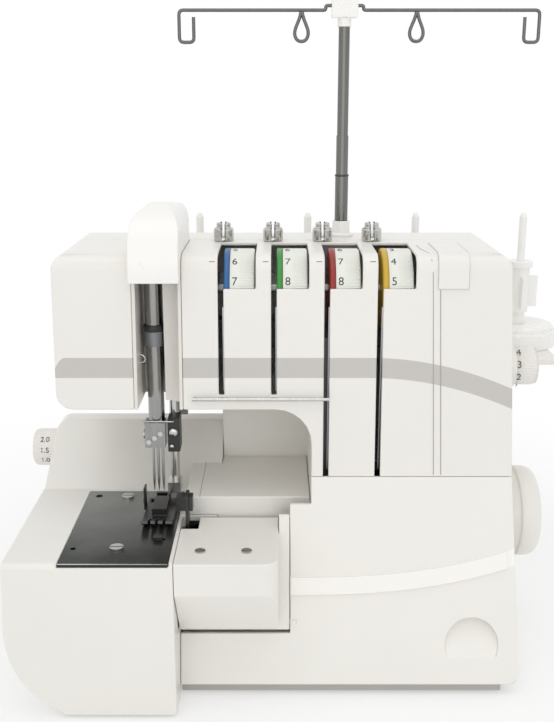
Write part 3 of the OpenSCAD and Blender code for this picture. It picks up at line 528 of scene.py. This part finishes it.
CARRIED = {
    "rubber_feet": "rubber", "frame_casting": "cast", "casing_screws": "steel",
    "needle_plate": "plate", "needle_plate_screws": "chrome", "stitch_finger_slide": "black",
    "lower_knife": "steel", "guide_rod": "chrome", "tension_axle": "steel", "motor": "dark",
    "motor_bracket": "cast", "motor_pulley": "steel", "main_shaft": "steel",
    "shaft_bearings": "bronze", "drive_belt": "rubber", "needle_bar": "bar", "needles": "steel",
    "needle_screws": "chrome", "presser_bar": "chrome", "presser_lever": "cast",
    "upper_knife": "dark", "upper_looper": "steel", "lower_looper": "steel", "feed_dogs": "steel",
    "extension_screws": "chrome", "hinge_pin": "steel", "spool_pins": "bright",
    "tree_lower_tube": "tube", "tree_middle_tube": "tube", "tree_upper_tube": "tube",
}
for node, look in CARRIED.items():
    finish_node(node, look)


# ---------------------------------------------------------------- tension dials
DIAL_TONES = ("blue", "green", "red", "yellow")
# The number that each dial's window shows at its middle, which is READING_TURN degrees above the
# front. The next ones follow every NUMBER_STEP degrees, as far as LAST_TURN near the back.
DIAL_READING = (7, 8, 8, 5)
NUMBER_STEP, READING_TURN, LAST_TURN = 31, 20, 176.4
NUMBER_SIZE, NUMBER_LIFT = 7.6, 0.02
RING_WIDTH, RING_DEPTH, RING_EDGE = 4, 6, 0.6
GRIP_START, GRIP_RIBS, GRIP_DEPTH, GRIP_SHARPNESS = 10.5, 96, 0.45, 0.7
HUB_DEPTH, DRUM_EDGE = 8, 0.9
DRUM_CLEARANCE = 0.15


def dial_ring(index, centre, radius, left, body):
    """The coloured ring at a drum's left end."""
    name, right = f"dial_ring_{index + 1}", left + RING_WIDTH - 0.2
    inner = radius - RING_DEPTH
    ring = lathe(name, [(inner, left), (radius - RING_EDGE, left), (radius, left + RING_EDGE),
                        (radius, right), (inner, right)], 128)
    keep(name, placed(ring, (0, *centre), "x"), DIAL_TONES[index], body)


def dial_drum(index):
    """One drum: a coloured ring at the left, a plain number band and a ribbed grip."""
    body = f"tension_dial_{index + 1}"
    low, high = span(body)
    left, right = low.x, high.x
    centre = ((low.y + high.y) / 2, (low.z + high.z) / 2)
    radius = (high.z - low.z) / 2 - DRUM_CLEARANCE
    dial_ring(index, centre, radius, left, body)
    band, grip = left + RING_WIDTH, left + GRIP_START
    face = radius - 0.1
    profile = [(radius - RING_DEPTH, band, 0), (radius - 0.3, band, 0), (face, band + 0.3, 0),
               (face, grip - 0.2, 0), (face, grip + 0.4, 1), (face, right - DRUM_EDGE, 1),
               (radius - 0.8, right, 0), (radius - HUB_DEPTH, right, 0)]
    name = f"dial_drum_{index + 1}"
    mesh = ribbed_knob(name, profile, centre, GRIP_RIBS, GRIP_DEPTH, GRIP_SHARPNESS)
    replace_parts(keep(name, mesh, "ivory", body), body)
    for number in range(10):
        turn = READING_TURN - (number - DIAL_READING[index]) * NUMBER_STEP
        if abs(turn) < LAST_TURN:
            place = on_knob(centre, radius, (band + grip) / 2, turn, NUMBER_LIFT)
            numeral(f"dial_{index + 1}_number_{number}", str(number), NUMBER_SIZE, place, body)


for index in range(4):
    dial_drum(index)


# ---------------------------------------------------------------- side dials and handwheel
# Profile points are (share of the radius, share of the length, ribbed), from the low X end
WHEEL_PROFILE = [
    (0.25, 0, 0), (0.9, 0, 0), (0.925, 0.02, 0), (0.935, 0.06, 0), (0.935, 0.43, 0), (0.945, 0.45, 0),
    (0.985, 0.455, 0), (1, 0.48, 0), (1, 0.66, 0), (0.995, 0.74, 0), (0.98, 0.82, 0), (0.95, 0.89, 0),
    (0.9, 0.95, 0), (0.83, 0.985, 0), (0.74, 1, 0), (0.5, 1, 0), (0.46, 0.97, 0), (0.2, 0.96, 0),
]
LENGTH_PROFILE = [
    (0.4, 0, 0), (0.95, 0, 0), (1, 0.03, 0), (1, 0.5, 0), (0.97, 0.53, 0), (0.88, 0.55, 1),
    (0.88, 0.9, 1), (0.84, 1, 0), (0.3, 1, 0),
]
FEED_PROFILE = [
    (0.3, 0, 0), (0.9, 0, 0), (0.97, 0.04, 1), (1, 0.1, 1), (1, 0.5, 1), (0.99, 0.54, 0),
    (0.99, 0.98, 0), (0.9, 1, 0), (0.3, 1, 0),
]
KNOB_SHARPNESS = 1.5
LENGTH_NUMBER_SIZE, FEED_NUMBER_SIZE, SIDE_NUMBER_LIFT = 7, 6, 0.05
# The middle of each dial's row of numbers, in X
LENGTH_NUMBERS_X, FEED_NUMBERS_X = 163, -181


def side_knob(node, name, profile, ribs, depth, body):
    """Stands a turned white knob in a CAD knob's place. Returns the knob's centre and radius."""
    low, high = span(node)
    centre = ((low.y + high.y) / 2, (low.z + high.z) / 2)
    radius = (high.z - low.z) / 2
    points = [(radius * share, low.x + (high.x - low.x) * run, ribbed) for share, run, ribbed in profile]
    mesh = ribbed_knob(name, points, centre, ribs, depth, KNOB_SHARPNESS)
    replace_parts(keep(name, mesh, "shell", body), node)
    return centre, radius


# The handwheel is smooth: its count of ribs only sets how many steps go round it
side_knob("handwheel", "handwheel_finished", WHEEL_PROFILE, 24, 0.0, "drive_shaft")
length_dial = side_knob("stitch_length_dial", "stitch_length_finished", LENGTH_PROFILE, 44, 0.6,
                        "stitch_length_dial")
feed_dial = side_knob("differential_feed_dial", "differential_feed_finished", FEED_PROFILE, 40, 0.5,
                      "differential_feed_dial")
for text, degrees in (("4", 50), ("3", 16), ("2", -18), ("1", -52)):
    place = on_knob(*length_dial, LENGTH_NUMBERS_X, degrees, SIDE_NUMBER_LIFT)
    numeral("stitch_length_number_" + text, text, LENGTH_NUMBER_SIZE, place, "stitch_length_dial")
for text, name, degrees in (("2.0", "high", 42), ("1.5", "middle", 8), ("1.0", "low", -26)):
    place = on_knob(*feed_dial, FEED_NUMBERS_X, degrees, SIDE_NUMBER_LIFT)
    numeral("differential_feed_number_" + name, text, FEED_NUMBER_SIZE, place, "differential_feed_dial")


# ---------------------------------------------------------------- casing detail
SLOT_WIDTH = 3.6
NEEDLE_X, NEEDLE_Y = middle("needles").xy
POLE_X, POLE_Y = middle("tree_lower_tube").xy


def foot_trim():
    """The grey strip under the front cover and the ledge in the gap below the looper door."""
    cover_front = span("lower_front_cover")[0]
    left, right = cover_front.x + 0.7, 151
    front, back, foot, top = cover_front.y + 1.5, cover_front.y + 5.4, 2.6, cover_front.z - 0.3
    small_block("base_trim", (left, front, foot), (right, back, top), "grey", 0.4)
    ledge_right, ledge_front, ledge_back, ledge_foot, ledge_top = 8, 36.2, 44, 36.5, 39.2
    small_block("door_gap_shelf", (left, ledge_front, ledge_foot), (ledge_right, ledge_back, ledge_top),
                "shell", 0.4)


def plate_edge():
    """The bright front edge of the needle plate."""
    low, high = span("needle_plate")
    inset, front, back = 0.2, 0.03, 1.1
    foot, top = low.z + 0.1, high.z + 0.15
    small_block("needle_plate_edge", (low.x + inset, front, foot), (high.x - inset, back, top),
                "chrome", 0.1)


def arm_slots():
    """The two dark slots behind the guide rod."""
    front, back, foot, top = 63.9, 66, 195.6, 198.2
    for number, (left, right) in enumerate(((-48.8, -37.9), (-35, -2))):
        small_block(f"arm_slot_{number + 1}", (left, front, foot), (right, back, top), "black", 0.9)


def slot_detail():
    """A steel liner at each thread slot's right side, and a dash at its upper left.

    The first two slots end above the arm, and the other two run down to the cover's foot.
    """
    liner_front, liner_back, liner_top = 70.4, 73, 258
    liner_feet = (200.5, 200.5, 145, 145)
    dash_front, dash_back, dash_foot, dash_top = 72.5, 74, 286.8, 287.6
    for index, foot in enumerate(liner_feet):
        right = span(f"tension_dial_{index + 1}")[0].x
        left = right - SLOT_WIDTH
        small_block(f"slot_liner_{index + 1}", (right - 0.9, liner_front, foot),
                    (right + 0.2, liner_back, liner_top), "steel", 0.2)
        small_block(f"index_dash_{index + 1}", (left - 5.4, dash_front, dash_foot),
                    (left - 1.6, dash_back, dash_top), "ink", 0.1)


def seam(name, points, radius=0.32):
    """A thin grey line along a joint between covers."""
    rod(name, points, radius, "grey")


def cover_seams():
    """The lines on both sides of the blank fifth position, and the one across the deck."""
    front, foot = 60.1, 145.6
    top = span("rear_cover")[1].z
    deck = span("deck_cover")[1].z
    left = [(104.9, front, foot), (100.7, 70.9, 280), (99.8, 73.2, 288.2), (98.6, 80, 291.9),
            (95.5, 96, top), (95, 112, top)]
    seam("thread_tension_seam_left", left)
    seam("thread_tension_seam_right", [(109.8, front, foot), (105.7, 70.1, 271)])
    seam("deck_seam", [(-53.3, 73, deck), (-53.3, 146, deck)], 0.25)


def collar(name, radius, thick, low, high, centre, look):
    """A thin ring round an upright bar."""
    edge = min(0.3, (high - low) / 3)
    outer = radius + thick
    mesh = lathe(name, [(radius, low), (outer - edge, low), (outer, low + edge), (outer, high - edge),
                        (outer - edge, high), (radius, high)], 48, True)
    keep(name, placed(mesh, (*centre, 0), "z"), look)


foot_trim()
plate_edge()
arm_slots()
slot_detail()
cover_seams()
tube_top = span("tree_lower_tube")[1].z
collar("needle_bar_seal", 5.6, 1.2, 238.2, 242.4, (NEEDLE_X, NEEDLE_Y), "black")
collar("lower_tube_ring", 4.72, 0.3, tube_top - 1.4, tube_top, (POLE_X, POLE_Y), "dark")


# ---------------------------------------------------------------- needle and presser detail
def screw(name, centre, radius, axis, body):
    """A round head that stands on its centre and faces along an axis."""
    height = 1.6
    cap = lathe(name, [(radius * 0.9, 0), (radius, 0.2), (radius, height * 0.6), (radius * 0.75, height),
                       (0.2, height)], 40)
    keep(name, placed(cap, centre, axis), "chrome", body)


def thread_clamp():
    """The black block behind the needle clamp, with a screw and a pin in its front."""
    left, right, front, back, foot, top = -75.4, -67, 84, 99, 152.5, 177
    small_block("thread_clamp_block", (left, front, foot), (right, back, top), "black", 0.8, "presser")
    screw("thread_clamp_screw", (-71.4, front, 167), 3.1, "-y", "presser")
    screw("thread_clamp_pin", (-72.6, front, 157), 1.5, "-y", "presser")
    bar_y, bar_z = front - 2, 175.4
    bar = [(-91.5, bar_y, bar_z), (-72, bar_y, bar_z), (-71, bar_y + 0.3, bar_z), (-71, front + 1, bar_z)]
    rod("needle_thread_bar", bar, 0.6, "chrome", "presser")


def needle_detail():
    """The clamp's side screw and the small thread hook in the channel above it."""
    clamp_left = span("needle_bar")[0].x
    screw("needle_clamp_screw", (clamp_left, 87, 165), 3.4, "-x", "needle_bar")
    y = 80
    hook = [(-92.2, y, 224), (-89.6, y, 223.2), (-88.3, y, 221.2), (-88.5, y, 219), (-90.4, y, 217.8),
            (-92.2, y, 218.2)]
    rod("needle_thread_hook", hook, 0.55, "chrome", smooth=True)


def presser_side():
    """The wire, plate and tab at the presser foot's left side."""
    wire = [(-92.4, 85, 127), (-93.7, 84.5, 124), (-92.4, 84, 120), (-93.8, 83, 116), (-92.4, 82, 112.5)]
    rod("presser_thread_wire", wire, 0.5, "dark", "presser", smooth=True)
    foot = span("presser_foot")[0].z + 0.4
    small_block("presser_side_plate", (-92.7, 78, foot), (-91.4, 86, 128), "dark", 0.3, "presser")
    small_block("presser_side_tab", (-92.6, 79, foot), (-90.4, 85, foot + 1.6), "dark", 0.2,
                "presser")


thread_clamp()
needle_detail()
presser_side()


# ---------------------------------------------------------------- take-up cover
def take_up_back():
    """Rounded panel that closes the take-up cover at its back."""
    low, high = span("take_up_cover")
    centre_x, radius, steps = (low.x + high.x) / 2, 13.9, 24
    foot, spring, top = 291.5, 306.9, 316.2
    front, back = high.y - 2.6, high.y - 0.3
    outline = [(centre_x - radius, foot), (centre_x + radius, foot)]
    for step in range(steps + 1):
        turn = math.pi * step / steps
        outline.append((centre_x + radius * math.cos(turn), min(top, spring + radius * math.sin(turn))))
    work = bmesh.new()
    face = work.faces.new([work.verts.new(at(x, front, z)) for x, z in outline])
    grown = bmesh.ops.extrude_face_region(work, geom=[face])["geom"]
    for vertex in (item for item in grown if isinstance(item, bmesh.types.BMVert)):
        vertex.co.y = at(0, back, 0).y
    bmesh.ops.remove_doubles(work, verts=work.verts, dist=WELD)
    bmesh.ops.recalc_face_normals(work, faces=work.faces)
    mesh = finished(work, "take_up_back")
    keep("take_up_back", rounded(mesh, "take_up_back", 0.4), "bright")


take_up_back()


# ---------------------------------------------------------------- thread tree wire
WIRE_LOW, WIRE_HIGH = span("thread_guide_wire")
WIRE_RADIUS = (WIRE_HIGH.y - WIRE_LOW.y) / 2
BAR_LEFT, BAR_RIGHT = WIRE_LOW.x + WIRE_RADIUS, WIRE_HIGH.x - WIRE_RADIUS
# The bar steps up over its holder
STEP_HALF, STEP_UP = 13, 3
WIRE_Z = WIRE_HIGH.z - WIRE_RADIUS - STEP_UP
HOOK_DEPTH, HOOK_WIDTH, HOOK_GAP, BEND = 21, 10, 4.5, 3.2
EYE_PLACES, EYE_DEPTH = (16.9, 96.3), 20.6
# Half of an eye, as places across its middle line and below the bar
EYE_HALF = [(0.3, 1), (1.2, 5), (3.2, 9.5), (4.7, 13.5), (4.6, 17), (2.9, 19.8)]


def filleted(points, radius):
    """Points of a path whose corners are rounded."""
    steps = 6
    points = [Vector(point) for point in points]
    path = [points[0]]
    for before, corner, after in zip(points, points[1:], points[2:]):
        reach = min(radius, (before - corner).length / 2.01, (after - corner).length / 2.01)
        start = corner + (before - corner).normalized() * reach
        end = corner + (after - corner).normalized() * reach
        for step in range(steps + 1):
            share = step / steps
            path.append(start.lerp(corner, share).lerp(corner.lerp(end, share), share))
    return path + [points[-1]]


def eye_points(x):
    """A teardrop eye that hangs from the bar."""
    right = [(x + across, POLE_Y, WIRE_Z - down) for across, down in EYE_HALF]
    left = [(x - across, POLE_Y, WIRE_Z - down) for across, down in reversed(EYE_HALF)]
    return right + [(x, POLE_Y, WIRE_Z - EYE_DEPTH)] + left


def tree_wire():
    """The bar with rounded hooks at its ends, a step over the holder and two teardrop eyes."""
    low, tip = WIRE_Z - HOOK_DEPTH, WIRE_Z - HOOK_GAP
    left_hook = [(BAR_LEFT + HOOK_WIDTH, tip), (BAR_LEFT + HOOK_WIDTH, low), (BAR_LEFT, low)]
    right_hook = [(BAR_RIGHT, low), (BAR_RIGHT - HOOK_WIDTH, low), (BAR_RIGHT - HOOK_WIDTH, tip)]
    left_step = [(POLE_X - STEP_HALF, WIRE_Z), (POLE_X - STEP_HALF, WIRE_Z + STEP_UP)]
    right_step = [(POLE_X + STEP_HALF, WIRE_Z + STEP_UP), (POLE_X + STEP_HALF, WIRE_Z)]
    route = left_hook + [(BAR_LEFT, WIRE_Z)] + left_step + right_step + [(BAR_RIGHT, WIRE_Z)] + right_hook
    bar = filleted([(x, POLE_Y, z) for x, z in route], BEND)
    wire = rod("thread_wire", bar, WIRE_RADIUS, "wire", "tree_top")
    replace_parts(wire, "thread_guide_wire")
    for number, x in enumerate(EYE_PLACES):
        rod(f"thread_eye_{number + 1}", eye_points(x), WIRE_RADIUS, "wire", "tree_top",
            smooth=True)


tree_wire()


# ---------------------------------------------------------------- studio and camera
AMBIENT = 0.82
# Name, energy, width and height in metres, place and aim
LAMPS = (
    ("key", 1.1, (1.2, 1.2), (-0.9, -1.1, 1.7), (0, 0, 0.2)),
    ("fill", 0.8, (1.4, 1.4), (1.2, -1.0, 1.3), (0, 0, 0.2)),
    ("front", 2.7, (1.4, 0.9), (0, -1.5, 0.5), (0, 0, 0.15)),
    ("top", 4.0, (1.5, 0.9), (0, -0.35, 1.8), (0, 0, 0.2)),
)
CAMERA_BACK, CAMERA_HEIGHT, CAMERA_DOWN = 540, 391, 15.5
LENS, SENSOR_WIDTH = 47.87, 36


def background_rays(tree):
    """1 for the rays that may see the plain background, 0 for the rest."""
    ray = tree.nodes.new("ShaderNodeLightPath")
    total = ray.outputs["Is Camera Ray"]
    for kind in ("Is Glossy Ray", "Is Transmission Ray"):
        either = tree.nodes.new("ShaderNodeMath")
        either.operation = "MAXIMUM"
        tree.links.new(total, either.inputs[0])
        tree.links.new(ray.outputs[kind], either.inputs[1])
        total = either.outputs["Value"]
    return total


def studio():
    """A white surround that lights the object a little less than it shows."""
    world = bpy.data.worlds.new("studio")
    bpy.context.scene.world = world
    world.use_nodes = True
    tree = world.node_tree
    ground = tree.nodes["Background"]
    level = tree.nodes.new("ShaderNodeMapRange")
    level.inputs["To Min"].default_value = AMBIENT
    level.inputs["To Max"].default_value = 1
    tree.links.new(background_rays(tree), level.inputs["Value"])
    tree.links.new(level.outputs["Result"], ground.inputs["Strength"])
    ground.inputs["Color"].default_value = (1, 1, 1, 1)


def softbox(name, energy, size, place, aim):
    light = bpy.data.lights.new(name, "AREA")
    light.shape = "RECTANGLE"
    light.size, light.size_y = size
    light.energy = energy
    lamp = added(name, light)
    lamp.location = place
    lamp.rotation_euler = (Vector(aim) - Vector(place)).to_track_quat("-Z", "Y").to_euler()


def floor():
    """Pale floor: it keeps the shadow near the object, and fades to plain white further out."""
    near, far, least, most = 0.2, 0.62, 0.5, 1
    half_size, cells = 6, 24
    work = bmesh.new()
    bmesh.ops.create_grid(work, x_segments=cells, y_segments=cells, size=half_size)
    mesh = finished(work, "floor")
    shader = Shader("floor_white", Roughness=0.9, Specular_IOR_Level=0.1)
    shader.body.inputs["Base Color"].default_value = (0.93, 0.93, 0.93, 1)
    away = shader.node("ShaderNodeVectorMath", operation="LENGTH")
    shader.link(shader.place, away.inputs[0])
    fade = shader.node("ShaderNodeMapRange", interpolation_type="SMOOTHSTEP")
    for key, value in (("From Min", near), ("From Max", far), ("To Min", least), ("To Max", most)):
        fade.inputs[key].default_value = value
    shader.link(away.outputs["Value"], fade.inputs["Value"])
    glow = shader.node("ShaderNodeEmission")
    lit = shader.node("ShaderNodeMixShader")
    seen = background_rays(shader.tree)
    shader.link(shader.math("MULTIPLY", seen, fade.outputs["Result"]), lit.inputs["Fac"])
    shader.link(shader.body.outputs["BSDF"], lit.inputs[1])
    shader.link(glow.outputs["Emission"], lit.inputs[2])
    shader.link(lit.outputs["Shader"], shader.tree.nodes["Material Output"].inputs["Surface"])
    mesh.materials.append(shader.material)
    added("floor", mesh)


def photo_camera():
    """The camera in front of the machine, which looks down at it."""
    lens = bpy.data.cameras.new("camera")
    lens.lens = LENS
    lens.sensor_width = SENSOR_WIDTH
    lens.sensor_fit = "AUTO"
    camera = added("camera", lens)
    camera.location = at(0, -CAMERA_BACK, CAMERA_HEIGHT)
    camera.rotation_euler = (math.radians(90 - CAMERA_DOWN), 0, 0)
    bpy.context.scene.camera = camera


studio()
floor()
for lamp in LAMPS:
    softbox(*lamp)
photo_camera()
bpy.context.scene.view_settings.view_transform = "Standard"
